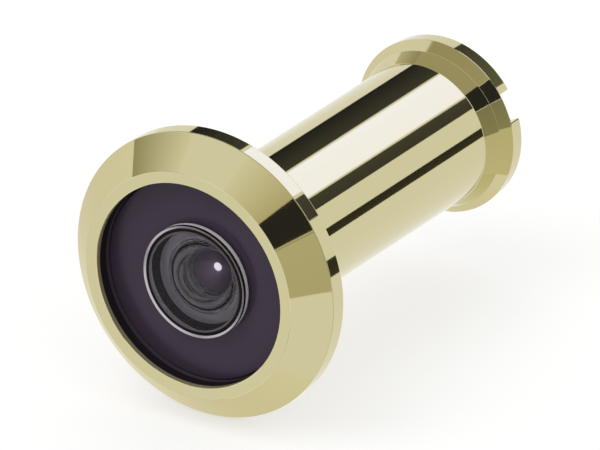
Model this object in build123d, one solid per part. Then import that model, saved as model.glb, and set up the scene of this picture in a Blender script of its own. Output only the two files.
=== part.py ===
from build123d import *
import math
import os

# Adjustable door viewer, in millimetres.
# The axis runs along Y: the outer, street side faces -Y and the eye side faces +Y.
# The origin is on the axis, in the plane of the outer flange's back, which seats on the door.

# Outer flange of the front body
FLANGE_R = 13.8
FLANGE_T = 4.5  # front lip to seat
BEVEL_DEPTH = 2.8  # axial depth of the sloping face
LIP_R = 11.0  # outer edge of the flat front lip
RECESS_R = 9.85  # recess that holds the dark plate
EDGE_R = 0.15  # small rounding of polished edges
SEAT_R = 7.35  # the sleeve's end stands inside this radius
SEAT_DEPTH = 0.5

# Dark plate and the collar that the first lens stands in
PLATE_DROP = 1.94  # plate face below the front lip
PLATE_T = 0.8
PLATE_GAP = 0.07  # plate rim to recess wall
PLATE_EDGE = 0.12
COLLAR_R = 5.42
COLLAR_BORE_R = 5.18
COLLAR_TOP = -3.6
COLLAR_CROWN = 0.09  # the collar's end slopes in by this much

# Threaded tube of the front body
THREAD_R = 5.95
THREAD_PITCH = 1.0
THREAD_HEIGHT = 0.6134 * THREAD_PITCH
THREAD_CREST = THREAD_PITCH / 8
THREAD_ROOT = 0.833 * THREAD_PITCH
THREAD_BITE = 0.1  # how far the ridge is sunk in the tube's core
TUBE_CHAMFER = 0.2  # at the tube's end and at the undercut
THREAD_START = 1.4
THREAD_RUN = 32.6
THREAD_TURN = 37.0  # degrees about the axis at which the ridge begins
TUBE_END = 34.8
RELIEF_R = 5.2  # undercut next to the flange
RELIEF_END = 0.9
BORE_R = 4.65

# Lenses: outer radii, faces along the axis and radii of curvature
LENS_R = 4.6
FIT_GAP = 0.02  # end clearance of the stack
FRONT_LENS_R = 5.12  # the part that stands in the collar
SHOULDER_R = 5.9
SHOULDER_GAP = 0.05
FRONT_RIM = -3.52  # flat ground ledge round the dome
FRONT_DOME_R = 4.66
FRONT_LENS_BACK = -1.0
FRONT_CURVE = 50.0
FRONT_HOLLOW_CURVE = 3.7
FRONT_HOLLOW_R = 3.44
SECOND_FACE = -0.8
SECOND_CENTRE_T = 0.65
SECOND_HOLLOW_CURVE = 8.5
SECOND_HOLLOW_R = 3.55
THIRD_FACE = 1.0
THIRD_FRONT_CURVE = 60.0
THIRD_FRONT_R = 4.1
THIRD_CENTRE_T = 0.9
THIRD_BACK_CURVE = 18.0
THIRD_BACK_R = 4.0
EYEPIECE_FACE = 31.4
EYEPIECE_EDGE_T = 1.6
EYEPIECE_CURVE = 32.0
EYEPIECE_R = 4.0

# Blackened rings and the ring that closes the stack
FRONT_SPACER_R = 3.55
LENS_SPACER_R = 3.65
LENS_SPACER_MOUTH = 4.15
TUBE_SPACER_R = 4.15
RING_R = 4.05
RING_END = 34.5
NOTCH_W = 1.0
NOTCH_DEPTH = 0.7

# Rear sleeve, screwed right home at rest
SLEEVE_R = 7.0
SLEEVE_START = -0.45
SLEEVE_LAND_R = 6.0  # the stretch that carries the inner thread, just clear of the crests
LAND_END = 7.5
LAND_CHAMFER = 0.2
SLEEVE_BORE_R = 6.2
SLEEVE_MOUTH = 0.3  # chamfer at the open end
SHOULDER_Y = 35.3
BARREL_END = 34.2  # where the first cone of the small flange begins
STEP_Y = 35.75
STEP_R = 7.65
STEP_EDGE = 0.14
RIM_Y = 36.7
RIM_R = 8.45
RIM_TAPER = 0.1  # the rim narrows by this much towards the rear face
REAR_FACE = 38.3
EYE_HOLE_R = 4.2
EYE_CUP_R = 5.6
EYE_CUP_DEPTH = 0.8
SLOT_W = 2.8
SLOT_DEPTH = 1.55
SLOT_TURN = 25.0  # degrees of the coin slot above +X

OVERCUT = 1.0  # how far a cutter runs past the piece that it cuts
NEAR = 0.001  # how closely an edge has to match when it is looked up


def sagitta(curve, radius):
    return curve - math.sqrt(curve**2 - radius**2)


def turned(*lines):
    """A solid of revolution about the viewer's axis. X in the outline is the radius."""
    edges = [edge for line in lines for edge in line.edges()]
    return revolve(make_face(edges), Axis.Y, 360)


def outline(*points):
    """Straight edges through the points, given as (radius, y)."""
    return Polyline(*points)


def ring(inner, outer, start, end):
    return turned(outline((inner, start), (outer, start), (outer, end), (inner, end), (inner, start)))


def edge_circles(solid, radius, y):
    """The circular edges of this radius at this place along the axis."""
    circles = solid.edges().filter_by(GeomType.CIRCLE)
    return [e for e in circles if abs(e.radius - radius) < NEAR and abs(e.arc_center.Y - y) < NEAR]


def thread_ridge():
    """The raised helix of the tube's thread."""
    core = THREAD_R - THREAD_HEIGHT
    path = Helix(THREAD_PITCH, THREAD_RUN, core, center=(0, 0, 0), direction=(0, 0, 1))
    flank = Plane(origin=(core, 0, 0), x_dir=(1, 0, 0), z_dir=(0, -1, 0))
    section = flank * make_face(
        Polyline(
            (-THREAD_BITE, -THREAD_ROOT / 2 - THREAD_BITE / 2),
            (0, -THREAD_ROOT / 2),
            (THREAD_HEIGHT, -THREAD_CREST / 2),
            (THREAD_HEIGHT, THREAD_CREST / 2),
            (0, THREAD_ROOT / 2),
            (-THREAD_BITE, THREAD_ROOT / 2 + THREAD_BITE / 2),
            (-THREAD_BITE, -THREAD_ROOT / 2 - THREAD_BITE / 2),
        )
    )
    ridge = Solid.sweep(section.faces()[0], path, is_frenet=True)
    return Pos(0, THREAD_START, 0) * Rot(X=-90) * Rot(Z=THREAD_TURN) * ridge


def front_body():
    """Outer flange and threaded tube, turned in one, with the bore for the lens stack."""
    front = -FLANGE_T
    recess_floor = front + PLATE_DROP + PLATE_T
    core = THREAD_R - THREAD_HEIGHT
    body = turned(
        outline(
            (BORE_R, FRONT_LENS_BACK),
            (SHOULDER_R + SHOULDER_GAP, FRONT_LENS_BACK),
            (SHOULDER_R + SHOULDER_GAP, recess_floor),
            (RECESS_R, recess_floor),
            (RECESS_R, front),
            (LIP_R, front),
            (FLANGE_R, front + BEVEL_DEPTH),
            (FLANGE_R, 0),
            (SEAT_R, 0),
            (SEAT_R, -SEAT_DEPTH),
            (RELIEF_R, -SEAT_DEPTH),
            (RELIEF_R, RELIEF_END - TUBE_CHAMFER),
            (core, RELIEF_END),
            (core, TUBE_END - TUBE_CHAMFER),
            (core - TUBE_CHAMFER, TUBE_END),
            (BORE_R, TUBE_END),
            (BORE_R, FRONT_LENS_BACK),
        )
    )
    soft = edge_circles(body, LIP_R, front)
    soft += edge_circles(body, FLANGE_R, front + BEVEL_DEPTH)
    soft += edge_circles(body, FLANGE_R, 0)
    soft += edge_circles(body, RECESS_R, front)
    body = fillet(soft, EDGE_R)
    return body + thread_ridge()


def lens_plate():
    """Dark plate pressed in the flange's recess, with the collar that stands round the first lens."""
    face = -FLANGE_T + PLATE_DROP
    back = face + PLATE_T
    plate = turned(
        outline(
            (COLLAR_BORE_R, back),
            (COLLAR_BORE_R, COLLAR_TOP + COLLAR_CROWN),
            (COLLAR_R, COLLAR_TOP),
            (COLLAR_R, face),
            (RECESS_R - PLATE_GAP, face),
            (RECESS_R - PLATE_GAP, back),
            (COLLAR_BORE_R, back),
        )
    )
    return chamfer(edge_circles(plate, RECESS_R - PLATE_GAP, face), PLATE_EDGE)


def front_lens():
    """First glass: a weak dome with a ground ledge, a deep hollow behind and a shouldered edge."""
    shoulder = -FLANGE_T + PLATE_DROP + PLATE_T + FIT_GAP
    vertex = FRONT_RIM - sagitta(FRONT_CURVE, FRONT_DOME_R)
    half = FRONT_DOME_R / 2
    half_y = vertex + sagitta(FRONT_CURVE, half)
    hollow = FRONT_LENS_BACK - sagitta(FRONT_HOLLOW_CURVE, FRONT_HOLLOW_R)
    mid = FRONT_HOLLOW_R / 2
    mid_y = hollow + sagitta(FRONT_HOLLOW_CURVE, mid)
    return turned(
        ThreePointArc((0, vertex), (half, half_y), (FRONT_DOME_R, FRONT_RIM)),
        outline(
            (FRONT_DOME_R, FRONT_RIM),
            (FRONT_LENS_R, FRONT_RIM),
            (FRONT_LENS_R, shoulder),
            (SHOULDER_R, shoulder),
            (SHOULDER_R, FRONT_LENS_BACK),
            (FRONT_HOLLOW_R, FRONT_LENS_BACK),
        ),
        ThreePointArc((FRONT_HOLLOW_R, FRONT_LENS_BACK), (mid, mid_y), (0, hollow)),
        Line((0, hollow), (0, vertex)),
    )


def front_spacer():
    return ring(FRONT_SPACER_R, LENS_R, FRONT_LENS_BACK, SECOND_FACE)


def second_back():
    return SECOND_FACE + SECOND_CENTRE_T + sagitta(SECOND_HOLLOW_CURVE, SECOND_HOLLOW_R)


def second_lens():
    """Second glass: flat in front, hollow behind."""
    back = second_back()
    vertex = SECOND_FACE + SECOND_CENTRE_T
    mid = SECOND_HOLLOW_R / 2
    mid_y = vertex + sagitta(SECOND_HOLLOW_CURVE, mid)
    return turned(
        outline((0, vertex), (0, SECOND_FACE), (LENS_R, SECOND_FACE), (LENS_R, back), (SECOND_HOLLOW_R, back)),
        ThreePointArc((SECOND_HOLLOW_R, back), (mid, mid_y), (0, vertex)),
    )


def lens_spacer():
    """Blackened ring that opens like a funnel towards the third glass."""
    start = second_back()
    return turned(
        outline(
            (LENS_SPACER_R, start),
            (LENS_R, start),
            (LENS_R, THIRD_FACE),
            (LENS_SPACER_MOUTH, THIRD_FACE),
            (LENS_SPACER_R, start),
        )
    )


def third_back():
    vertex = THIRD_FACE + sagitta(THIRD_FRONT_CURVE, THIRD_FRONT_R) + THIRD_CENTRE_T
    return vertex + sagitta(THIRD_BACK_CURVE, THIRD_BACK_R)


def third_lens():
    """Third glass, hollow on both sides."""
    front_vertex = THIRD_FACE + sagitta(THIRD_FRONT_CURVE, THIRD_FRONT_R)
    back_vertex = front_vertex + THIRD_CENTRE_T
    front_mid = THIRD_FRONT_R / 2
    front_mid_y = front_vertex - sagitta(THIRD_FRONT_CURVE, front_mid)
    back_mid = THIRD_BACK_R / 2
    back_mid_y = back_vertex + sagitta(THIRD_BACK_CURVE, back_mid)
    return turned(
        ThreePointArc((0, front_vertex), (front_mid, front_mid_y), (THIRD_FRONT_R, THIRD_FACE)),
        outline(
            (THIRD_FRONT_R, THIRD_FACE),
            (LENS_R, THIRD_FACE),
            (LENS_R, third_back()),
            (THIRD_BACK_R, third_back()),
        ),
        ThreePointArc((THIRD_BACK_R, third_back()), (back_mid, back_mid_y), (0, back_vertex)),
        Line((0, back_vertex), (0, front_vertex)),
    )


def spacer_tube():
    """Loose blackened tube that keeps the eyepiece at its distance."""
    return ring(TUBE_SPACER_R, LENS_R, third_back() + FIT_GAP, EYEPIECE_FACE - FIT_GAP)


def eyepiece_lens():
    """Converging glass, domed on both sides."""
    back = EYEPIECE_FACE + EYEPIECE_EDGE_T
    dome = sagitta(EYEPIECE_CURVE, EYEPIECE_R)
    mid = EYEPIECE_R / 2
    mid_rise = dome - sagitta(EYEPIECE_CURVE, mid)
    return turned(
        ThreePointArc((0, EYEPIECE_FACE - dome), (mid, EYEPIECE_FACE - mid_rise), (EYEPIECE_R, EYEPIECE_FACE)),
        outline((EYEPIECE_R, EYEPIECE_FACE), (LENS_R, EYEPIECE_FACE), (LENS_R, back), (EYEPIECE_R, back)),
        ThreePointArc((EYEPIECE_R, back), (mid, back + mid_rise), (0, back + dome)),
        Line((0, back + dome), (0, EYEPIECE_FACE - dome)),
    )


def eyepiece_ring():
    """Ring that closes the lens stack, with two notches for a pin spanner."""
    closed = ring(RING_R, LENS_R, EYEPIECE_FACE + EYEPIECE_EDGE_T, RING_END)
    notch = Pos(0, RING_END, 0) * Box(2 * (LENS_R + OVERCUT), 2 * NOTCH_DEPTH, NOTCH_W)
    return closed - notch


def rear_sleeve():
    """Smooth barrel with the small stepped flange, the eye hole and the coin slot."""
    sleeve = turned(
        outline(
            (SLEEVE_LAND_R + SLEEVE_MOUTH, SLEEVE_START),
            (SLEEVE_R, SLEEVE_START),
            (SLEEVE_R, BARREL_END),
            (STEP_R, STEP_Y),
            (RIM_R, RIM_Y),
            (RIM_R - RIM_TAPER, REAR_FACE),
            (EYE_CUP_R, REAR_FACE),
            (EYE_HOLE_R, REAR_FACE - EYE_CUP_DEPTH),
            (EYE_HOLE_R, SHOULDER_Y),
            (SLEEVE_BORE_R, SHOULDER_Y),
            (SLEEVE_BORE_R, LAND_END),
            (SLEEVE_LAND_R, LAND_END - LAND_CHAMFER),
            (SLEEVE_LAND_R, SLEEVE_START + SLEEVE_MOUTH),
            (SLEEVE_LAND_R + SLEEVE_MOUTH, SLEEVE_START),
        )
    )
    soft = edge_circles(sleeve, RIM_R, RIM_Y)
    soft += edge_circles(sleeve, RIM_R - RIM_TAPER, REAR_FACE)
    sleeve = fillet(soft, EDGE_R)
    sleeve = fillet(edge_circles(sleeve, STEP_R, STEP_Y), STEP_EDGE)
    slot = Box(2 * (RIM_R + OVERCUT), 2 * SLOT_DEPTH, SLOT_W)
    return sleeve - Pos(0, REAR_FACE, 0) * Rot(Y=-SLOT_TURN) * slot


PIECES = {
    "front_body": front_body,
    "lens_plate": lens_plate,
    "front_lens": front_lens,
    "front_spacer": front_spacer,
    "second_lens": second_lens,
    "lens_spacer": lens_spacer,
    "third_lens": third_lens,
    "spacer_tube": spacer_tube,
    "eyepiece_lens": eyepiece_lens,
    "eyepiece_ring": eyepiece_ring,
    "rear_sleeve": rear_sleeve,
}

os.makedirs("parts", exist_ok=True)
for name, make in PIECES.items():
    piece = make()
    export_step(piece, f"parts/{name}.step")
    print(f"{name}: {piece.volume:.1f} cubic mm")
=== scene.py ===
import math

import bpy
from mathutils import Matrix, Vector


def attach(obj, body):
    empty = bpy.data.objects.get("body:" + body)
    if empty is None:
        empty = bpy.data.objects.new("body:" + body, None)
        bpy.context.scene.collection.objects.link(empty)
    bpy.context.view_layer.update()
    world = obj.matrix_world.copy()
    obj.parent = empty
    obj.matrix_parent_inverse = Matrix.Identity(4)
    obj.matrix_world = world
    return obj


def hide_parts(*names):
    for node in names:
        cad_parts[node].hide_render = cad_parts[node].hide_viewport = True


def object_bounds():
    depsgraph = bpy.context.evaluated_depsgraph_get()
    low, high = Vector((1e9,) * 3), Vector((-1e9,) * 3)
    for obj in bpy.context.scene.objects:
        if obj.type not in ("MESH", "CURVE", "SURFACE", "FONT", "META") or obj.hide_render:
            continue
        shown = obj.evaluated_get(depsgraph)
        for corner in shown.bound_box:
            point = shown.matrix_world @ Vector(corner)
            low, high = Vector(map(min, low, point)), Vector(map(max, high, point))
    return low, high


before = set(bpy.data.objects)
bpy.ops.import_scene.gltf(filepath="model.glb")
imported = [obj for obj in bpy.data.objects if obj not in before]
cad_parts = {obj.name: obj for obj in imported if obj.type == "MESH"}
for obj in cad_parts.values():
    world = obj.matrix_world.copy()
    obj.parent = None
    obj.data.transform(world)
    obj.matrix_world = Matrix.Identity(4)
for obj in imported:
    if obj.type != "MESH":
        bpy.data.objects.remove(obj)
cadBox = [list(corner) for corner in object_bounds()]
print("frame loaded:", len(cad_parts), "nodes")

mm = 0.001  # profiles are written in millimetres, everything in the scene is in metres
near = 0.001  # places on a profile that are this close count as one, in millimetres
weldsPerMm = 10000  # mesh points that fall on the same ten-thousandth of a millimetre become one


# Turned profiles. A corner is (radius, y) or (radius, y, fillet), or it starts a spherical face.

def corner(r, y, fillet=0.0, sphere=0.0):
    return {"r": r, "y": y, "fillet": fillet, "sphere": sphere}


def sagitta(curve, radius):
    return curve - math.sqrt(curve ** 2 - radius ** 2)


def moved(place, way, distance):
    return (place[0] + way[0] * distance, place[1] + way[1] * distance)


def turnNormal(normal, angle):
    c, s = math.cos(angle), math.sin(angle)
    return (normal[0] * c - normal[1] * s, normal[0] * s + normal[1] * c)


def stepsAlong(line, normals):
    return list(zip(line, line[1:], normals, normals[1:]))


def filletSides(end, out, lastOut, bend, bulge, steps):
    # the arc that rounds a corner, from the last side's normal to this one's
    centre = moved(end, out, -bulge)
    normals = [turnNormal(lastOut, bend * k / steps) for k in range(steps + 1)]
    return stepsAlong([moved(centre, normal, bulge) for normal in normals], normals)


def sphereSides(a, b, curve, out, steps):
    # a face whose centre lies on the axis, as far as curve says towards plus or minus Y
    radius, up = abs(curve), math.copysign(1, curve)
    centre = a[1] + up * math.sqrt(radius ** 2 - a[0] ** 2)
    first, final = (math.atan2(r, -(y - centre) * up) for r, y in (a, b))
    turns = [first + (final - first) * k / steps for k in range(steps + 1)]
    arc = [(radius * math.sin(t), centre - up * radius * math.cos(t)) for t in turns]
    radial = [(r / radius, (y - centre) / radius) for r, y in arc]
    middle = radial[steps // 2]
    facing = 1 if middle[0] * out[0] + middle[1] * out[1] > 0 else -1
    return stepsAlong(arc, [(r * facing, y * facing) for r, y in radial])


def sidesOf(profile, arcSteps=5, sphereSteps=40):
    # every side is (start, end, outward normal at start, outward normal at end), all as (radius, y)
    corners = [corner(*place) if isinstance(place, tuple) else place for place in profile]
    points = [(c["r"], c["y"]) for c in corners]
    ends = points[1:] + points[:1]
    hand = 1 if sum(a[0] * b[1] - b[0] * a[1] for a, b in zip(points, ends)) > 0 else -1
    along = []
    for a, b in zip(points, ends):
        length = math.hypot(b[0] - a[0], b[1] - a[1])
        along.append(((b[0] - a[0]) / length, (b[1] - a[1]) / length))
    outward = [(way[1] * hand, -way[0] * hand) for way in along]
    bends = [math.atan2(c[0] * d[1] - c[1] * d[0], c[0] * d[0] + c[1] * d[1])
             for c, d in zip(along[-1:] + along[:-1], along)]
    trims = [c["fillet"] * math.tan(abs(bend) / 2) for c, bend in zip(corners, bends)]
    sides = []
    for i, here in enumerate(corners):
        a, b, way, out = points[i], ends[i], along[i], outward[i]
        start = moved(a, way, trims[i])
        if here["fillet"]:
            bulge = here["fillet"] * (1 if bends[i] * hand > 0 else -1)
            sides += filletSides(start, out, outward[i - 1], bends[i], bulge, arcSteps)
        if here["sphere"]:
            sides += sphereSides(a, b, here["sphere"], out, sphereSteps)
        elif a[0] > 0 or b[0] > 0:  # a side that lies on the axis sweeps nothing
            sides.append((start, moved(b, way, -trims[(i + 1) % len(corners)]), out, out))
    return sides


# Meshes

class MeshMaker:
    # gathers faces whose corners carry their own exact normals, so that polished faces reflect cleanly
    def __init__(self):
        self.points, self.index, self.faces, self.normals, self.finishes = [], {}, [], [], []

    def point(self, place):
        key = tuple(round(v * weldsPerMm) for v in place)
        if key not in self.index:
            self.index[key] = len(self.points)
            self.points.append([v * mm for v in place])
        return self.index[key]

    def face(self, places, normals, finish=0):
        ids = [self.point(place) for place in places]
        if len(set(ids)) < 3:
            return
        kept = [k for k in range(len(ids)) if ids[k] != ids[k - 1]]
        none = Vector((0, 0, 0))
        facing = sum((Vector(places[k - 1]).cross(Vector(places[k])) for k in range(len(places))), none)
        if facing.dot(sum((Vector(normal) for normal in normals), none)) < 0:
            kept.reverse()
        self.faces.append([ids[k] for k in kept])
        self.normals += [normals[k] for k in kept]
        self.finishes.append(finish)

    def build(self, name, *materials):
        mesh = bpy.data.meshes.new(name)
        mesh.from_pydata(self.points, [], self.faces)
        mesh.shade_smooth()
        mesh.normals_split_custom_set(self.normals)
        for material in materials:
            mesh.materials.append(material)
        for polygon, finish in zip(mesh.polygons, self.finishes):
            polygon.material_index = finish
        return addObject(name, mesh)


def addObject(name, data):
    made = bpy.data.objects.new(name, data)
    bpy.context.scene.collection.objects.link(made)
    return made


def roundPoint(r, y, angle):
    return (r * math.cos(angle), y, r * math.sin(angle))


def addPatch(maker, side, angles, finish=0):
    # one face of a turned side: out from its start to its end, and back again further round
    a, b, na, nb = side
    places = [roundPoint(*place, t) for place, t in zip((a, b, b, a), angles)]
    normals = [roundPoint(*normal, t) for normal, t in zip((na, nb, nb, na), angles)]
    maker.face(places, normals, finish)


def sweepSides(maker, sides, columns, finishOf=None):
    for side in sides:
        finish = finishOf(*side[:2]) if finishOf else 0
        for c in range(columns):
            t0, t1 = (2 * math.pi * (c + step) / columns for step in (0, 1))
            addPatch(maker, side, (t0, t0, t1, t1), finish)


def settle(piece, body, node):
    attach(piece, body)
    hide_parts(node)


# Node helpers

def feed(links, value, socket):
    # a socket takes another node's output, a colour or a plain number
    if isinstance(value, bpy.types.NodeSocket):
        links.new(value, socket)
    else:
        socket.default_value = (*value, 1) if isinstance(value, tuple) else value


def newMaterial(name, **values):
    made = bpy.data.materials.new(name)
    made.use_nodes = True
    shader = made.node_tree.nodes["Principled BSDF"]
    for label, value in values.items():
        shader.inputs[label].default_value = value
    return made, made.node_tree.nodes, made.node_tree.links, shader


def newGroup(name, inputs, outputs):
    group = bpy.data.node_groups.new(name, "ShaderNodeTree")
    for label, value in inputs.items():
        socket = group.interface.new_socket(label, in_out="INPUT", socket_type="NodeSocketFloat")
        socket.default_value = value
    for label in outputs:
        group.interface.new_socket(label, in_out="OUTPUT", socket_type="NodeSocketFloat")
    ends = [group.nodes.new("NodeGroupInput").outputs, group.nodes.new("NodeGroupOutput").inputs]
    return group, group.nodes, group.links, *ends


def placeGroup(nodes, group, **values):
    node = nodes.new("ShaderNodeGroup")
    node.node_tree = group
    for label, value in values.items():
        node.inputs[label].default_value = value
    return node.outputs


def mathNode(nodes, links, operation, *inputs):
    node = nodes.new("ShaderNodeMath")
    node.operation = operation
    for value, socket in zip(inputs, node.inputs):
        feed(links, value, socket)
    return node.outputs[0]


def rangeNode(nodes, links, value, start, end):
    # nothing where the value is at start, full where it is at end
    node = nodes.new("ShaderNodeMapRange")
    node.inputs["From Min"].default_value = start
    node.inputs["From Max"].default_value = end
    links.new(value, node.inputs["Value"])
    return node.outputs[0]


def noiseNode(nodes, links, place, scale, detail=2.0):
    node = nodes.new("ShaderNodeTexNoise")
    node.inputs["Detail"].default_value = detail
    links.new(place, node.inputs["Vector"])
    feed(links, scale, node.inputs["Scale"])
    return node.outputs[0]


def mixColour(nodes, links, factor, low, high):
    node = nodes.new("ShaderNodeMix")
    node.data_type = "RGBA"
    colours = [socket for socket in node.inputs if socket.type == "RGBA"]
    feed(links, factor, node.inputs[0])
    feed(links, low, colours[0])
    feed(links, high, colours[1])
    return next(socket for socket in node.outputs if socket.type == "RGBA")


def bumpNode(nodes, links, height, distance):
    node = nodes.new("ShaderNodeBump")
    node.inputs["Distance"].default_value = distance
    links.new(height, node.inputs["Height"])
    return node


# Shared effects: polishing waves and hairlines, turned lines round the axis, bright edges, dust

def polishGroup(hairTilt=(0.3, 0.7, 0.2), hairStretch=(1, 0.06, 1), hairLevels=(0.62, 0.8)):
    # long low waves, and hairs that are noise stretched along one way, where only its tops count
    group, nodes, links, start, end = newGroup(
        "polish", {"WaveScale": 140.0, "HairScale": 900.0, "HairShare": 0.25}, ("Height", "Hairlines"))
    place = nodes.new("ShaderNodeTexCoord").outputs["Object"]
    waves = noiseNode(nodes, links, place, start["WaveScale"], detail=1.0)
    stretch = nodes.new("ShaderNodeMapping")
    stretch.inputs["Rotation"].default_value = hairTilt
    stretch.inputs["Scale"].default_value = hairStretch
    links.new(place, stretch.inputs["Vector"])
    hairs = noiseNode(nodes, links, stretch.outputs[0], start["HairScale"], detail=3.0)
    few = rangeNode(nodes, links, hairs, *hairLevels)
    scaled = mathNode(nodes, links, "MULTIPLY", few, start["HairShare"])
    links.new(mathNode(nodes, links, "SUBTRACT", waves, scaled), end["Height"])
    links.new(scaled, end["Hairlines"])
    return group


def turnedGroup(detail=4.0):
    # fine lines that a lathe leaves: noise along the radius and along the axis, unbroken round the axis
    group, nodes, links, start, end = newGroup(
        "turnedLines", {"Scale": 4000.0, "Radial": 1.0, "Axial": 0.0}, ("Height",))
    split = nodes.new("ShaderNodeSeparateXYZ")
    links.new(nodes.new("ShaderNodeTexCoord").outputs["Object"], split.inputs[0])
    squares = [mathNode(nodes, links, "POWER", split.outputs[axis], 2.0) for axis in ("X", "Z")]
    radius = mathNode(nodes, links, "SQRT", mathNode(nodes, links, "ADD", *squares))
    across = mathNode(nodes, links, "MULTIPLY", radius, start["Radial"])
    along = mathNode(nodes, links, "MULTIPLY", split.outputs["Y"], start["Axial"])
    lines = nodes.new("ShaderNodeTexNoise")
    lines.noise_dimensions = "1D"
    lines.inputs["Detail"].default_value = detail
    links.new(mathNode(nodes, links, "ADD", across, along), lines.inputs["W"])
    links.new(start["Scale"], lines.inputs["Scale"])
    links.new(lines.outputs[0], end["Height"])
    return group


def edgeGroup(rounding=0.00018, alikeLevels=(0.995, 0.93)):
    # marks where the true normal leaves the one that a small rounding would give
    group, nodes, links, start, end = newGroup("edgeWear", {"Share": 1.0}, ("Mask",))
    rounded = nodes.new("ShaderNodeBevel")
    rounded.samples = 4
    rounded.inputs["Radius"].default_value = rounding
    alike = nodes.new("ShaderNodeVectorMath")
    alike.operation = "DOT_PRODUCT"
    links.new(rounded.outputs[0], alike.inputs[0])
    links.new(nodes.new("ShaderNodeNewGeometry").outputs["Normal"], alike.inputs[1])
    worn = rangeNode(nodes, links, alike.outputs["Value"], *alikeLevels)
    links.new(mathNode(nodes, links, "MULTIPLY", worn, start["Share"]), end["Mask"])
    return group


def dustGroup(speckLevels=(0.1, 0.04), patchScale=300.0, patchLevels=(0.5, 0.7)):
    # specks in the middles of small cells, only where a broader noise is high, so that they lie in patches
    group, nodes, links, start, end = newGroup("dust", {"Scale": 1400.0, "Amount": 0.5}, ("Mask",))
    place = nodes.new("ShaderNodeTexCoord").outputs["Object"]
    cells = nodes.new("ShaderNodeTexVoronoi")
    links.new(place, cells.inputs["Vector"])
    links.new(start["Scale"], cells.inputs["Scale"])
    specks = rangeNode(nodes, links, cells.outputs["Distance"], *speckLevels)
    patches = rangeNode(nodes, links, noiseNode(nodes, links, place, patchScale), *patchLevels)
    both = mathNode(nodes, links, "MULTIPLY", specks, patches)
    links.new(mathNode(nodes, links, "MULTIPLY", both, start["Amount"]), end["Mask"])
    return group


polish, turnedLines, edgeWear, dust = polishGroup(), turnedGroup(), edgeGroup(), dustGroup()
print("shared effects made")


# Materials

brassLook = {
    "colour": (0.617, 0.565, 0.328), "edgeColour": (0.80, 0.76, 0.52), "edgeShare": 0.5, "roughness": 0.045,
    "hairRoughness": 0.12, "waveHeight": 0.0000016, "waveScale": 140.0, "lineScale": 0.0,
}
turnedBrassLook = {**brassLook, "roughness": 0.16, "lineScale": 3000.0, "lineHeight": 0.000002}


def brassMaterial(name, look):
    made, nodes, links, shader = newMaterial(name, Metallic=1.0)
    finish = placeGroup(nodes, polish, WaveScale=look["waveScale"])
    edges = placeGroup(nodes, edgeWear, Share=look["edgeShare"])
    tone = mixColour(nodes, links, edges["Mask"], look["colour"], look["edgeColour"])
    roughness = (look["hairRoughness"], look["roughness"])
    rough = mathNode(nodes, links, "MULTIPLY_ADD", finish["Hairlines"], *roughness)
    bump = bumpNode(nodes, links, finish["Height"], look["waveHeight"])
    if look["lineScale"]:
        turning = placeGroup(nodes, turnedLines, Scale=look["lineScale"], Axial=1.0)
        waves, bump = bump, bumpNode(nodes, links, turning["Height"], look["lineHeight"])
        links.new(waves.outputs[0], bump.inputs["Normal"])
    links.new(tone, shader.inputs["Base Color"])
    links.new(rough, shader.inputs["Roughness"])
    links.new(bump.outputs[0], shader.inputs["Normal"])
    return made


def turnedFinish(name, low, high, lines, rough=None, **values):
    # a turned surface: the lines go from the low colour to the high one, and stand up a little
    made, nodes, links, shader = newMaterial(name, **values)
    turning = placeGroup(nodes, turnedLines, Scale=lines["scale"], Axial=lines["axial"])
    tone = mixColour(nodes, links, turning["Height"], low, high)
    links.new(tone, shader.inputs["Base Color"])
    if rough:
        uneven = mathNode(nodes, links, "MULTIPLY_ADD", turning["Height"], *rough)
        links.new(uneven, shader.inputs["Roughness"])
    bump = bumpNode(nodes, links, turning["Height"], lines["height"])
    links.new(bump.outputs[0], shader.inputs["Normal"])
    return made, nodes, links, shader, tone


plateLook = {
    "colour": (0.053, 0.036, 0.060), "lightColour": (0.066, 0.047, 0.074), "dustColour": (0.2, 0.19, 0.2),
    "dustAmount": 0.25, "roughness": 0.30, "lineRoughness": 0.08, "metallic": 0.15, "specular": 0.2,
    "anisotropy": 0.9, "lines": {"scale": 9000.0, "axial": 0.0, "height": 0.0000012},
}


def plateMaterial(look):
    rough = (look["lineRoughness"], look["roughness"])
    values = {"Metallic": look["metallic"], "Specular IOR Level": look["specular"]}
    made, nodes, links, shader, tone = turnedFinish(
        "darkPlate", look["colour"], look["lightColour"], look["lines"], rough, **values)
    shader.inputs["Anisotropic"].default_value = look["anisotropy"]
    tangent = nodes.new("ShaderNodeTangent")
    tangent.direction_type = "RADIAL"
    tangent.axis = "Y"
    links.new(tangent.outputs[0], shader.inputs["Tangent"])
    specks = placeGroup(nodes, dust, Amount=look["dustAmount"])
    dusty = mixColour(nodes, links, specks["Mask"], tone, look["dustColour"])
    links.new(dusty, shader.inputs["Base Color"])
    return made


silverLines = {"scale": 6000.0, "axial": 1.0, "height": 0.000002}
dullLines = {"scale": 1800.0, "axial": 1.0, "height": 0.000001}


def silverMaterial(name, colour, roughness, metallic=1.0, paler=1.12, lineRoughness=0.08):
    pale = tuple(min(1.0, value * paler) for value in colour)
    return turnedFinish(name, colour, pale, silverLines, (lineRoughness, roughness), Metallic=metallic)[0]


def dullMaterial(name, low, high, roughness=1.0, specular=0.05, metallic=0.0):
    values = {"Roughness": roughness, "Specular IOR Level": specular, "Metallic": metallic}
    return turnedFinish(name, low, high, dullLines, **values)[0]


glassLook = {"index": 1.52, "mirroring": (0.2, 0.17, 0.22), "dustScale": 1800.0, "dustAmount": 0.15}


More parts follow.
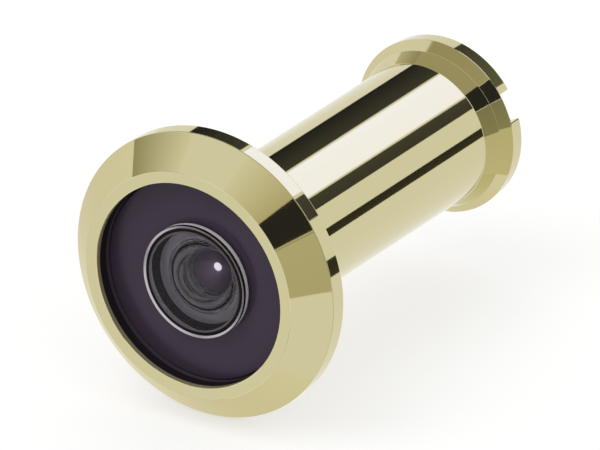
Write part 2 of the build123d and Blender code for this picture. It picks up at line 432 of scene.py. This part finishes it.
def glassMaterial(name, colour, look=glassLook):
    # the coating takes most of the mirroring off the glass
    made, nodes, links, shader = newMaterial(name, IOR=look["index"])
    shader.inputs["Base Color"].default_value = (*colour, 1)
    shader.inputs["Transmission Weight"].default_value = 1.0
    shader.inputs["Specular Tint"].default_value = (*look["mirroring"], 1)
    specks = placeGroup(nodes, dust, Scale=look["dustScale"], Amount=look["dustAmount"])
    links.new(specks["Mask"], shader.inputs["Roughness"])
    return made


groundLook = {"roughness": 0.5, "grainScale": 2500.0, "grainHeight": 0.000001}


def groundMaterial(name, low, high, look=groundLook):
    made, nodes, links, shader = newMaterial(name, Roughness=look["roughness"])
    grain = noiseNode(nodes, links, nodes.new("ShaderNodeTexCoord").outputs["Object"], look["grainScale"])
    links.new(mixColour(nodes, links, grain, low, high), shader.inputs["Base Color"])
    bump = bumpNode(nodes, links, grain, look["grainHeight"])
    links.new(bump.outputs[0], shader.inputs["Normal"])
    return made


brass = brassMaterial("polishedBrass", brassLook)
turnedBrass = brassMaterial("turnedBrass", turnedBrassLook)
brightMetal = silverMaterial("brightMetal", (0.50, 0.47, 0.51), roughness=0.24)
satinMetal = silverMaterial("satinMetal", (0.78, 0.74, 0.81), roughness=0.45, metallic=0.0)
darkPlate = plateMaterial(plateLook)
# black for blackened pieces; on the recess wall the same black is painted shade and a painted dark reflection
blackened = dullMaterial("blackened", (0.012, 0.008, 0.010), (0.020, 0.014, 0.018))
spacerGrey = dullMaterial("spacerGrey", (0.18, 0.175, 0.20), (0.22, 0.212, 0.24))
# painted shade and painted reflection for the recess wall: dull dark brass as brass in shade, and the plate's
# tone as the plate mirrored in the brass
paintedShadeBrass = dullMaterial("paintedShadeBrass", (0.21, 0.185, 0.115), (0.26, 0.23, 0.14))
paintedPlateReflection = dullMaterial("paintedPlateReflection", (0.052, 0.041, 0.056), (0.062, 0.050, 0.067))
tubeGrey = dullMaterial("tubeGrey", (0.80, 0.68, 0.86), (0.90, 0.77, 0.95),
                        roughness=0.8, specular=0.5, metallic=0.5)
lensGlass = glassMaterial("lensGlass", (0.99, 0.975, 0.99))
smokedGlass = glassMaterial("smokedGlass", (0.80, 0.79, 0.82))
darkGround = groundMaterial("darkGround", (0.060, 0.056, 0.058), (0.078, 0.073, 0.075))
greyGround = groundMaterial("greyGround", (0.52, 0.49, 0.51), (0.60, 0.57, 0.59))
paleGround = groundMaterial("paleGround", (0.78, 0.76, 0.82), (0.86, 0.84, 0.90))
print("materials made")


# Outer flange and threaded tube

bodyColumns, lensColumns, ringColumns = 256, 192, 128  # faces round the axis, by the size of the piece
flange = {
    "radius": 13.8, "thickness": 4.5, "bevelDepth": 2.8, "lipRadius": 11.0, "recessRadius": 9.85,
    "seatRadius": 7.35, "seatDepth": 0.5, "plateDrop": 1.94, "plateThickness": 0.8, "pocketRadius": 5.95,
    "edge": 0.15, "softEdge": 0.05, "recessEdge": 0.09,
    # the recess's wall, from the lip down: polished, brass in painted shade, black as painted shade and dark
    # reflection, and the plate's tone painted as the plate's reflection
    "polishedWall": 0.08, "paintedShadeWall": 0.5, "paintedDarkWall": 1.5,
}
tube = {
    "crest": 5.95, "pitch": 1.0, "height": 0.6134, "crestWidth": 0.125, "rootWidth": 0.833, "start": 1.4,
    "turns": 32.6, "startAngle": 37.0, "end": 34.8, "reliefRadius": 5.2, "reliefEnd": 0.9, "reliefEdge": 0.1,
    "chamfer": 0.2, "edge": 0.05, "bore": 4.65, "bite": 0.1, "fadeDepth": 0.05, "fadeTurns": 0.4,
}
tubeCore = tube["crest"] - tube["height"]
plateFace = -flange["thickness"] + flange["plateDrop"]
plateBack = plateFace + flange["plateThickness"]
lensBack = -1.0  # back face of the first glass


def threadSection(look, turn):
    # the ridge's outline at this turn, which rises out of the core and sinks into it again at the ends
    fade = min(1.0, turn / look["fadeTurns"], (look["turns"] - turn) / look["fadeTurns"])
    low = tubeCore - look["fadeDepth"]
    top = low + (look["height"] + look["fadeDepth"]) * math.sin(fade * math.pi / 2)
    foot, crest, bottom = look["rootWidth"] / 2, look["crestWidth"] / 2, tubeCore - look["bite"]
    y = look["start"] + turn * look["pitch"]
    rising = [(bottom, -foot), (tubeCore, -foot), (top, -crest)]
    falling = [(top, crest), (tubeCore, foot), (bottom, foot)]
    return [(r, y + offset) for r, offset in rising + falling]


def addThread(maker, look, stepsPerTurn=72):
    rows = []
    for k in range(round(look["turns"] * stepsPerTurn) + 1):
        turn = k / stepsPerTurn
        rows.append((math.radians(-look["startAngle"]) - turn * 2 * math.pi, threadSection(look, turn)))
    slope = math.pi / 2 - math.atan2(look["height"], (look["rootWidth"] - look["crestWidth"]) / 2)
    lean = (math.cos(slope), math.sin(slope))
    normals = [(0, -1), (lean[0], -lean[1]), (1, 0), lean, (0, 1), (-1, 0)]
    for (t0, low), (t1, high) in zip(rows, rows[1:]):
        angles = (t0, t0, t1, t1)
        for s, normal in enumerate(normals):
            e = (s + 1) % len(normals)
            places = [roundPoint(*place, t) for place, t in zip((low[s], low[e], high[e], high[s]), angles)]
            maker.face(places, [roundPoint(*normal, t) for t in angles])
    for (t, section), way in ((rows[0], 1), (rows[-1], -1)):
        out = (-math.sin(t) * way, 0, math.cos(t) * way)
        maker.face([roundPoint(*place, t) for place in section], [out] * len(section))


def makeFrontBody():
    f, t, front = flange, tube, -flange["thickness"]
    soft = f["softEdge"]
    profile = [
        (t["bore"], lensBack), (f["pocketRadius"], lensBack), (f["pocketRadius"], plateBack),
        # corners where the recess wall's painted bands meet: the plate's tone, the painted dark band, and
        # brass in painted shade
        (f["recessRadius"], plateBack, soft), (f["recessRadius"], front + f["paintedDarkWall"]),
        (f["recessRadius"], front + f["paintedShadeWall"]), (f["recessRadius"], front, f["recessEdge"]),
        (f["lipRadius"], front, soft), (f["radius"], front + f["bevelDepth"], f["edge"]),
        (f["radius"], 0, f["edge"]), (f["seatRadius"], 0, soft), (f["seatRadius"], -f["seatDepth"]),
        (t["reliefRadius"], -f["seatDepth"], t["reliefEdge"]),
        (t["reliefRadius"], t["reliefEnd"] - t["chamfer"]), (tubeCore, t["reliefEnd"]),
        (tubeCore, t["end"] - t["chamfer"], t["edge"]), (tubeCore - t["chamfer"], t["end"], t["edge"]),
        (t["bore"], t["end"], t["edge"]),
    ]
    # the four finishes: polished brass; black, which is blackening on the bore and painted shade with a
    # painted dark reflection on the recess wall; brass in painted shade; and the plate's tone painted on the
    # wall as the plate's reflection
    polished, black, paintedShade, foot = range(4)

    def finish(a, b):
        reach, deep = max(a[0], b[0]), max(a[1], b[1])
        if reach <= t["bore"] + near:
            return black
        if reach > f["recessRadius"] + near or deep > plateBack + near:
            return polished
        # the wall's lowest band: the plate's tone as a painted reflection
        if deep > front + f["paintedDarkWall"] + near:
            return foot
        # the wall's middle band: black as painted shade and a painted dark reflection
        if deep > front + f["paintedShadeWall"] + near:
            return black
        # the wall's upper band: brass in painted shade
        return paintedShade if min(a[1], b[1]) > front + f["polishedWall"] else polished

    maker = MeshMaker()
    sweepSides(maker, sidesOf(profile), bodyColumns, finish)
    addThread(maker, t)
    # the last two materials hold the recess wall's painted shade and painted reflection
    made = maker.build("frontBody", brass, blackened, paintedShadeBrass, paintedPlateReflection)
    settle(made, "front_body", "front_body")


# Dark plate, with the collar that stands round the first lens

plate = {"rimGap": 0.07, "rimEdge": 0.12}
collar = {
    "inner": 5.18, "crown": 0.09, "outer": 5.42, "top": -3.6,
    "innerEdge": 0.03, "outerEdge": 0.02, "foot": 0.03,
    # bright on top, then round the outside a black line, a pale band, and the plate's own finish
    "brightEnd": -3.46, "blackEnd": -3.26, "paleEnd": -2.84,
}


def makePlate():
    c, slack = collar, 0.005
    outer = flange["recessRadius"] - plate["rimGap"]
    profile = [
        (c["inner"], plateBack), (c["inner"], c["top"] + c["crown"], c["innerEdge"]),
        (c["outer"], c["top"], c["outerEdge"]), (c["outer"], c["blackEnd"]),
        (c["outer"], c["paleEnd"]), (c["outer"], plateFace, c["foot"]),
        (outer, plateFace, plate["rimEdge"]), (outer, plateBack),
    ]
    dark, bright, pale, black = range(4)

    def finish(a, b):
        low, high = min(a[1], b[1]), max(a[1], b[1])
        if max(a[0], b[0]) > c["outer"] + c["foot"] + slack or low > plateFace:
            return dark
        if min(a[0], b[0]) <= c["outer"] - c["outerEdge"] - slack:
            return bright if high < c["brightEnd"] else black
        if low < c["blackEnd"] - slack:
            return black
        return pale if low < c["paleEnd"] - slack else dark

    maker = MeshMaker()
    sweepSides(maker, sidesOf(profile), bodyColumns, finish)
    made = maker.build("lensPlate", darkPlate, brightMetal, satinMetal, blackened)
    settle(made, "front_body", "lens_plate")


makeFrontBody()
makePlate()
print("outer half made")


# Lens stack

lensRadius = 4.6
touch = 0.01  # hairline left between glass and ring
clear, darkLedge, ink, greyEdge, paleEdge = range(5)  # finishes of a glass


def lensPiece(name, profile, node, finish, glass=lensGlass):
    maker = MeshMaker()
    sweepSides(maker, sidesOf(profile), lensColumns, finish)
    made = maker.build(name, glass, darkGround, blackened, greyGround, paleGround)
    settle(made, "front_body", node)


def groundOutside(radius):
    return lambda a, b: clear if max(a[0], b[0]) <= radius + near else paleEdge


firstLens = {
    "radius": 5.12, "shoulder": 5.9, "shoulderGap": 0.02, "domeRadius": 4.66, "rim": -3.52, "rimEdge": 0.06,
    "groundRadius": 4.87, "curve": 50.0, "hollowCurve": 3.7, "hollowRadius": 3.44, "inkRadius": 4.45,
}


def makeFirstLens():
    look = firstLens
    shoulder = plateBack + look["shoulderGap"]
    vertex = look["rim"] - sagitta(look["curve"], look["domeRadius"])
    hollow = lensBack - sagitta(look["hollowCurve"], look["hollowRadius"])
    profile = [
        corner(0, vertex, sphere=look["curve"]), (look["domeRadius"], look["rim"]),
        (look["groundRadius"], look["rim"]), (look["radius"], look["rim"], look["rimEdge"]),
        (look["radius"], shoulder), (look["shoulder"], shoulder), (look["shoulder"], lensBack),
        (look["inkRadius"], lensBack), corner(look["hollowRadius"], lensBack, sphere=look["hollowCurve"]),
        (0, hollow),
    ]

    def finish(a, b):
        low, high = min(a[0], b[0]), max(a[0], b[0])
        if high <= look["domeRadius"] + near:
            return clear
        if high <= look["groundRadius"] + near:
            return darkLedge
        if low < look["radius"] - near or a[1] == b[1] == lensBack:
            return ink
        return paleEdge if high > look["radius"] + near else greyEdge

    lensPiece("firstLens", profile, "front_lens", finish)


secondLens = {"face": -0.8, "centre": 0.65, "hollowCurve": 8.5, "hollowRadius": 3.55}
secondVertex = secondLens["face"] + secondLens["centre"]
secondBack = secondVertex + sagitta(secondLens["hollowCurve"], secondLens["hollowRadius"])


def makeSecondLens():
    look = secondLens
    profile = [
        (0, secondVertex), (0, look["face"]), (lensRadius, look["face"]),
        (lensRadius, secondBack), corner(look["hollowRadius"], secondBack, sphere=look["hollowCurve"]),
    ]

    def finish(a, b):
        return clear if a[1] == b[1] == look["face"] else groundOutside(look["hollowRadius"])(a, b)

    lensPiece("secondLens", profile, "second_lens", finish)


thirdLens = {
    "face": 1.0, "frontCurve": 60.0, "frontRadius": 4.1, "centre": 0.9, "backCurve": 18.0, "backRadius": 4.0,
}
thirdFrontVertex = thirdLens["face"] + sagitta(thirdLens["frontCurve"], thirdLens["frontRadius"])
thirdBackVertex = thirdFrontVertex + thirdLens["centre"]
thirdBack = thirdBackVertex + sagitta(thirdLens["backCurve"], thirdLens["backRadius"])


def makeThirdLens():
    look = thirdLens
    profile = [
        corner(0, thirdFrontVertex, sphere=-look["frontCurve"]), (look["frontRadius"], look["face"]),
        (lensRadius, look["face"]), (lensRadius, thirdBack),
        corner(look["backRadius"], thirdBack, sphere=look["backCurve"]), (0, thirdBackVertex),
    ]

    def finish(a, b):
        inFront = max(a[1], b[1]) < thirdFrontVertex + near
        return groundOutside(look["frontRadius"] if inFront else look["backRadius"])(a, b)

    lensPiece("thirdLens", profile, "third_lens", finish)


eyeLens = {"face": 31.4, "edge": 1.6, "curve": 32.0, "domeRadius": 4.0}
eyeBack = eyeLens["face"] + eyeLens["edge"]


def makeEyepieceLens():
    look = eyeLens
    dome = sagitta(look["curve"], look["domeRadius"])
    profile = [
        corner(0, look["face"] - dome, sphere=look["curve"]), (look["domeRadius"], look["face"]),
        (lensRadius, look["face"]), (lensRadius, eyeBack),
        corner(look["domeRadius"], eyeBack, sphere=-look["curve"]), (0, eyeBack + dome),
    ]
    lensPiece("eyepieceLens", profile, "eyepiece_lens", groundOutside(look["domeRadius"]), smokedGlass)


spacers = {"frontBore": 3.55, "funnelBore": 3.65, "funnelMouth": 4.15, "tubeBore": 4.15, "tubeGap": 0.02}


def ringPiece(name, span, bores, node, material, body="front_body"):
    # span is the ring's start and end, bores its inner radius at both
    profile = [(bores[0], span[0]), (lensRadius, span[0]), (lensRadius, span[1]), (bores[1], span[1])]
    maker = MeshMaker()
    sweepSides(maker, sidesOf(profile), ringColumns)
    settle(maker.build(name, material), body, node)


def makeSpacers():
    s = spacers
    span = (lensBack + touch, secondLens["face"] - touch)
    ringPiece("frontSpacer", span, (s["frontBore"], s["frontBore"]), "front_spacer", spacerGrey)
    span = (secondBack + touch, thirdLens["face"] - touch)
    ringPiece("lensSpacer", span, (s["funnelBore"], s["funnelMouth"]), "lens_spacer", satinMetal)
    span = (thirdBack + s["tubeGap"], eyeLens["face"] - s["tubeGap"])
    ringPiece("spacerTube", span, (s["tubeBore"], s["tubeBore"]), "spacer_tube", tubeGrey, "spacer_tube")


# A turned ring with one slot across its end face, used for the eyepiece ring and for the sleeve

slotSteps = 12  # faces across the slot
nudge = 1e-6  # keeps a corner that lies in the slot's floor on the floor's side


def wallPoint(place, offset, base, hand):
    # a point of the flat wall that stands this far from the slot's middle plane
    (r, y), c, s = place, math.cos(base), math.sin(base)
    reach = math.sqrt(r ** 2 - offset ** 2)
    return (c * reach - s * hand * offset, y, s * reach + c * hand * offset)


def addSlotWalls(maker, crownSides, floorY, half, chamfer, turn):
    # the four flat walls where the slot cuts the land, with a chamfer round their upper edges
    chain = [crownSides[0][0]] + [side[1] for side in crownSides]
    normals = [crownSides[0][2]] + [side[3] for side in crownSides]
    inset = [(r - n[0] * chamfer, y - n[1] * chamfer if y > floorY + nudge else y)
             for (r, y), n in zip(chain, normals)]
    for halfTurn in (0, 1):
        for hand in (1, -1):
            base = halfTurn * math.pi + turn + (0 if hand > 0 else math.pi)
            outside = (math.sin(base) * hand, 0, -math.cos(base) * hand)
            wall = [wallPoint(place, half, base, hand) for place in inset]
            land = [wallPoint(place, half + chamfer, base, hand) for place in chain]
            leans = [tuple((Vector(outside) + Vector(roundPoint(*n, base))).normalized()) for n in normals]
            maker.face(wall, [outside] * len(wall))
            for p in range(len(chain) - 1):
                maker.face([wall[p], wall[p + 1], land[p + 1], land[p]],
                           [leans[p], leans[p + 1], leans[p + 1], leans[p]])
            for p in (0, -1):
                foot = wallPoint((chain[p][0], floorY), half, base, hand)
                maker.face([foot, wall[p], land[p]], [(0, 1, 0)] * 3)


def slottedRing(name, material, lower, crown, half, turn, chamfer, columns=ringColumns):
    # lower: open profile from the inner edge of the slot's floor, round below, to its outer edge
    # crown: the corners above the floor, which the slot, half as wide as half says, cuts into two lands
    sides = sidesOf(lower + crown, arcSteps=3)
    (innerRadius, floorY), outerRadius = lower[0], lower[-1][0]
    turn, landSteps = math.radians(turn), columns // 2
    landStart, lastStep = slotSteps + 1, slotSteps + landSteps + 1

    def onLower(side):
        return max(side[0][1], side[1][1]) <= floorY + nudge

    def angleOf(column, r):
        halfTurn, k = column
        if k <= slotSteps:
            own = math.asin(half * (2 * k / slotSteps - 1) / r)
        else:
            edge = math.asin((half + chamfer) / r)
            own = edge + (math.pi - 2 * edge) * (k - landStart) / landSteps
        return own + halfTurn * math.pi + turn

    def facesOf(side, column, after):
        radii, ends = (side[0][0], side[1][0], side[1][0], side[0][0]), (column, column, after, after)
        addPatch(maker, side, [angleOf(end, r) for end, r in zip(ends, radii)])

    maker = MeshMaker()
    order = [(halfTurn, k) for halfTurn in (0, 1) for k in range(lastStep + 1)]
    floorStops = [innerRadius, innerRadius + chamfer, outerRadius - chamfer, outerRadius]
    for column, after in zip(order, order[1:] + order[:1]):
        inSlot, onChamfer = column[1] < slotSteps, column[1] in (slotSteps, lastStep)
        for side in sides:
            if onLower(side) or not (inSlot or onChamfer):
                facesOf(side, column, after)
        if inSlot:
            for r0, r1 in zip(floorStops, floorStops[1:]):
                facesOf(((r0, floorY), (r1, floorY), (0, 1), (0, 1)), column, after)
    addSlotWalls(maker, [side for side in sides if not onLower(side)], floorY, half, chamfer, turn)
    return maker.build(name, material)


eyeRing = {"inner": 4.05, "end": 34.5, "notchWidth": 1.0, "notchDepth": 0.7, "edge": 0.05}


def makeEyepieceRing():
    # two notches for a pin spanner, cut across the ring's outer face
    look, start = eyeRing, eyeBack + touch
    floor = look["end"] - look["notchDepth"]
    lower = [(look["inner"], floor), (look["inner"], start), (lensRadius, start), (lensRadius, floor)]
    crown = [(lensRadius, look["end"], look["edge"]), (look["inner"], look["end"], look["edge"])]
    made = slottedRing("eyepieceRing", turnedBrass, lower, crown, look["notchWidth"] / 2, 0.0, look["edge"])
    settle(made, "front_body", "eyepiece_ring")


makeFirstLens()
makeSecondLens()
makeThirdLens()
makeEyepieceLens()
makeSpacers()
makeEyepieceRing()
print("lens stack made")


# Rear sleeve

sleeve = {
    "radius": 7.0, "start": -0.45, "startEdge": 0.1, "mouth": 0.3, "mouthEdge": 0.05, "landRadius": 6.0,
    "landEnd": 7.5, "landChamfer": 0.2, "bore": 6.2, "shoulder": 35.3, "barrelEnd": 34.2, "coneFillet": 0.25,
    "stepY": 35.75, "stepRadius": 7.65, "stepEdge": 0.14, "rimY": 36.7, "rimRadius": 8.45, "rimEdge": 0.04,
    "rimTaper": 0.1, "face": 38.3, "faceEdge": 0.12, "eyeHole": 4.2, "cupRadius": 5.6, "cupDepth": 0.8,
    "cupEdge": 0.06, "slotWidth": 2.8, "slotDepth": 1.55, "slotTurn": 25.0, "slotChamfer": 0.08,
}


def makeSleeve():
    s = sleeve
    floor = s["face"] - s["slotDepth"]
    lower = [
        (s["eyeHole"], floor), (s["eyeHole"], s["shoulder"]), (s["bore"], s["shoulder"]),
        (s["bore"], s["landEnd"]), (s["landRadius"], s["landEnd"] - s["landChamfer"]),
        (s["landRadius"], s["start"] + s["mouth"]),
        (s["landRadius"] + s["mouth"], s["start"], s["mouthEdge"]), (s["radius"], s["start"], s["startEdge"]),
        (s["radius"], s["barrelEnd"], s["coneFillet"]), (s["stepRadius"], s["stepY"], s["stepEdge"]),
        (s["rimRadius"], s["rimY"], s["rimEdge"]), (s["rimRadius"], floor),
    ]
    crown = [
        (s["rimRadius"] - s["rimTaper"], s["face"], s["faceEdge"]), (s["cupRadius"], s["face"], s["cupEdge"]),
        (s["eyeHole"], s["face"] - s["cupDepth"], s["cupEdge"]),
    ]
    made = slottedRing("rearSleeve", brass, lower, crown, s["slotWidth"] / 2, s["slotTurn"], s["slotChamfer"],
                       bodyColumns)
    settle(made, "rear_sleeve", "rear_sleeve")


makeSleeve()
print("sleeve made")


# Floor, surroundings, lamps and camera

floorLook = {"drop": 0.2, "size": 3000.0, "colour": (0.5, 0.5, 0.5), "roughness": 0.9, "glow": 0.55}


def makeFloor(look):
    level = cadBox[0][2] - look["drop"] * mm
    half = look["size"] * mm / 2
    mesh = bpy.data.meshes.new("floor")
    mesh.from_pydata([(-half, -half, level), (half, -half, level), (half, half, level), (-half, half, level)],
                     [], [(0, 1, 2, 3)])
    made, nodes, links, shader = newMaterial("paleFloor", Roughness=look["roughness"])
    shader.inputs["Base Color"].default_value = (*look["colour"], 1)
    rays = nodes.new("ShaderNodeLightPath").outputs
    seen = mathNode(nodes, links, "MAXIMUM", rays["Is Camera Ray"], rays["Is Transmission Ray"])
    glow = nodes.new("ShaderNodeEmission")
    links.new(mathNode(nodes, links, "MULTIPLY", seen, look["glow"]), glow.inputs["Strength"])
    both = nodes.new("ShaderNodeAddShader")
    links.new(shader.outputs[0], both.inputs[0])
    links.new(glow.outputs[0], both.inputs[1])
    links.new(both.outputs[0], nodes["Material Output"].inputs[0])
    mesh.materials.append(made)
    floor = addObject("floor", mesh)
    floor.visible_glossy = False  # the brass mirrors the panels and the white studio instead


# Panels round the viewer's axis, which its brass mirrors. Angles go from +X towards +Z, distances along Y.
# A panel goes from the colour and the ends at its low angle to those at its high one, where it has any.
panelDistance = 250.0
panels = [
    # blue-white window and black edges that the barrel mirrors
    {"name": "skyPanel", "angles": (53.5, 103.5), "y": (262, 345),
     "low": (1.42, 1.48, 2.2), "high": (1.42, 1.5, 2.3)},
    {"name": "skyFlag", "angles": (106.5, 152), "y": (262, 341),
     "low": (0.065, 0.065, 0.06), "high": (0.02, 0.02, 0.022), "roundEnd": 0.08},
    {"name": "lowFlag", "angles": (-13, 0), "y": (262, 345),
     "low": (0.055, 0.048, 0.033), "high": (0.035, 0.033, 0.025)},
    {"name": "farFlag", "angles": (32, 51), "y": (262, 345),
     "low": (0.065, 0.062, 0.055), "high": (0.08, 0.077, 0.07)},
    {"name": "rimFlag", "angles": (39, 119), "y": (370, 470),
     "low": (0.16, 0.155, 0.11), "high": (0.06, 0.065, 0.06)},
    # black patch at the right of all the sloping faces
    {"name": "longFlag", "angles": (24.5, 53), "y": (-460, -165), "low": (0.03, 0.03, 0.03)},
    {"name": "outerConeFlag", "angles": (27, 51), "y": (-165, -85), "low": (0.03, 0.03, 0.03)},
    {"name": "innerConeFlag", "angles": (28, 52), "y": (-12, 90), "low": (0.03, 0.03, 0.03)},
    # shades that the wide bevel of the outer flange mirrors
    {"name": "frontShade", "angles": (-16, 26.5), "y": (-260, -148), "yHigh": (-260, -172),
     "low": (0.64, 0.61, 0.44), "high": (0.66, 0.64, 0.47)},
    {"name": "warmShade", "angles": (51.5, 92), "y": (-260, -176), "yHigh": (-260, -132),
     "low": (0.66, 0.62, 0.42), "high": (0.97, 0.96, 0.90)},
    {"name": "leftShade", "angles": (129, 162), "y": (-134, -82), "yHigh": (-134, -9),
     "low": (0.97, 0.96, 0.91), "high": (0.44, 0.42, 0.28)},
    {"name": "leftCream", "angles": (162, 225), "y": (-70, 330), "yHigh": (-70, 200),
     "low": (1.0, 0.99, 0.96), "high": (0.84, 0.79, 0.59)},
    {"name": "bottomCream", "angles": (225, 290), "y": (-70, 200), "yHigh": (-70, 50),
     "low": (0.84, 0.79, 0.59), "high": (1.0, 0.98, 0.92)},
    # olive shades that the two cones of the inner flange mirror
    {"name": "rightShade", "angles": (-5, 26.5), "y": (-147, -60), "yHigh": (-171, -80),
     "low": (0.36, 0.35, 0.22), "high": (0.30, 0.29, 0.20)},
    {"name": "rightInnerShade", "angles": (-5, 27.5), "y": (-30, 110), "yHigh": (-20, 110),
     "low": (0.34, 0.34, 0.21), "high": (0.31, 0.30, 0.20)},
    {"name": "topShade", "angles": (51.5, 130), "y": (-174, -85), "yHigh": (-80, -22),
     "low": (0.50, 0.47, 0.32), "high": (0.46, 0.43, 0.29)},
    {"name": "topInnerShade", "angles": (52, 130), "y": (-12, 150), "yHigh": (36, 220),
     "low": (0.50, 0.47, 0.33)},
    {"name": "topEdge", "angles": (130, 156), "y": (12, 210), "yHigh": (50, 240),
     "low": (0.40, 0.39, 0.26), "high": (0.72, 0.67, 0.54)},
    {"name": "lowShade", "angles": (-55, -5), "y": (-64, 120), "yHigh": (-146, 120),
     "low": (0.80, 0.77, 0.56), "high": (0.73, 0.70, 0.50)},
    {"name": "underShade", "angles": (-125, -55), "y": (185, 255), "yHigh": (20, 130),
     "low": (0.86, 0.84, 0.66), "high": (0.75, 0.72, 0.48)},
    # dark cards for the fans on the turned plate and for the far side of the collar's rim
    {"name": "upperCard", "angles": (134, 166), "y": (-420, -135), "low": (0.02, 0.02, 0.02)},
    {"name": "lowerCard", "angles": (-88, -45), "y": (-420, -135),
     "low": (0.03, 0.03, 0.03), "high": (0.02, 0.02, 0.02)},
    {"name": "rimCard", "angles": (-175, -105), "y": (-125, 10), "low": (0.04, 0.04, 0.04)},
]


def glowMaterial(name):
    made, nodes, links, shader = newMaterial(name)
    glow = nodes.new("ShaderNodeEmission")
    tint = nodes.new("ShaderNodeVertexColor")
    tint.layer_name = "shade"
    links.new(tint.outputs[0], glow.inputs["Color"])
    links.new(glow.outputs[0], nodes["Material Output"].inputs[0])
    nodes.remove(shader)
    return made


def between(low, high, share):
    return [a + (b - a) * share for a, b in zip(low, high)]


def makePanel(look, steps=24):
    radius, roundEnd = panelDistance * mm, look.get("roundEnd", 0)
    a0, a1 = look["angles"]
    points, shades = [], []
    for v in (j / steps for j in range(steps + 1)):
        width = 1.0
        if roundEnd and v > 1 - roundEnd:
            width = math.sqrt(max(0.0, 1 - ((v - 1 + roundEnd) / roundEnd) ** 2))
        for i in range(steps + 1):
            u = 0.5 + (i / steps - 0.5) * width
            angle = math.radians(a0 + (a1 - a0) * u)
            y0, y1 = between(look["y"], look.get("yHigh", look["y"]), u)
            points.append(roundPoint(radius, (y0 + (y1 - y0) * v) * mm, angle))
            shades.append(between(look["low"], look.get("high", look["low"]), u) + [1.0])
    row = steps + 1
    faces = [(k, k + 1, k + row + 1, k + row) for k in range(row * steps) if k % row < steps]
    mesh = bpy.data.meshes.new(look["name"])
    mesh.from_pydata(points, [], faces)
    layer = mesh.color_attributes.new("shade", "FLOAT_COLOR", "POINT")
    for place, shade in zip(layer.data, shades):
        place.color = shade
    mesh.materials.append(glowMaterial(look["name"]))
    panel = addObject(look["name"], mesh)
    panel.visible_camera = panel.visible_diffuse = panel.visible_transmission = panel.visible_shadow = False


def makeWorld(softLight=0.75):
    # white where it is seen or mirrored, and a little dimmer as a light
    world = bpy.data.worlds.new("studio")
    world.use_nodes = True
    nodes, links = world.node_tree.nodes, world.node_tree.links
    rays = nodes.new("ShaderNodeLightPath").outputs
    seen = mathNode(nodes, links, "MAXIMUM", rays["Is Camera Ray"], rays["Is Glossy Ray"])
    seen = mathNode(nodes, links, "MAXIMUM", seen, rays["Is Transmission Ray"])
    strength = mathNode(nodes, links, "MULTIPLY_ADD", seen, 1 - softLight, softLight)
    links.new(strength, nodes["Background"].inputs["Strength"])
    nodes["Background"].inputs["Color"].default_value = (1, 1, 1, 1)
    bpy.context.scene.world = world


barrelMiddle = Vector((0, 0.017, 0))  # where both lamps point
lamps = [
    {"name": "softKey", "place": (-0.25, -0.35, 0.6), "size": 0.5, "watts": 1.2},
    {"name": "softFill", "place": (0.5, -0.2, 0.35), "size": 0.5, "watts": 0.6},
]


def makeLamp(look):
    data = bpy.data.lights.new(look["name"], "AREA")
    data.size = look["size"]
    data.energy = look["watts"]
    lamp = addObject(look["name"], data)
    lamp.location = look["place"]
    lamp.rotation_euler = (barrelMiddle - Vector(look["place"])).to_track_quat("-Z", "Y").to_euler()
    lamp.visible_glossy = lamp.visible_transmission = False


cameraLook = {
    "azimuth": 33.1, "elevation": 25.0, "distance": 1.6564, "pixelsPerMm": 11.121, "sensor": 36.0,
    "lipCentrePixel": (188.0, 285.94), "imageSize": (600, 450), "clip": (0.01, 10),
}


def makeCamera(look):
    azimuth, elevation = math.radians(look["azimuth"]), math.radians(look["elevation"])
    level = math.cos(elevation)
    back = Vector((math.sin(azimuth) * level, -math.cos(azimuth) * level, math.sin(elevation)))
    right = Vector((math.cos(azimuth), math.sin(azimuth), 0))
    up = back.cross(right)
    (width, height), (px, py) = look["imageSize"], look["lipCentrePixel"]
    perPixel = mm / look["pixelsPerMm"]
    lip = Vector((0, -flange["thickness"] * mm, 0))
    target = lip + right * ((width / 2 - px) * perPixel) + up * ((py - height / 2) * perPixel)
    data = bpy.data.cameras.new("camera")
    data.sensor_width = look["sensor"]
    data.lens = look["distance"] / perPixel * look["sensor"] / width
    data.clip_start, data.clip_end = look["clip"]
    camera = addObject("camera", data)
    camera.location = target + back * look["distance"]
    camera.rotation_mode = "QUATERNION"
    camera.rotation_quaternion = (-back).to_track_quat("-Z", "Y")
    bpy.context.scene.camera = camera


makeFloor(floorLook)
for panel in panels:
    makePanel(panel)
makeWorld()
for lamp in lamps:
    makeLamp(lamp)
makeCamera(cameraLook)
bpy.context.scene.view_settings.view_transform = "Standard"
print("stage made")
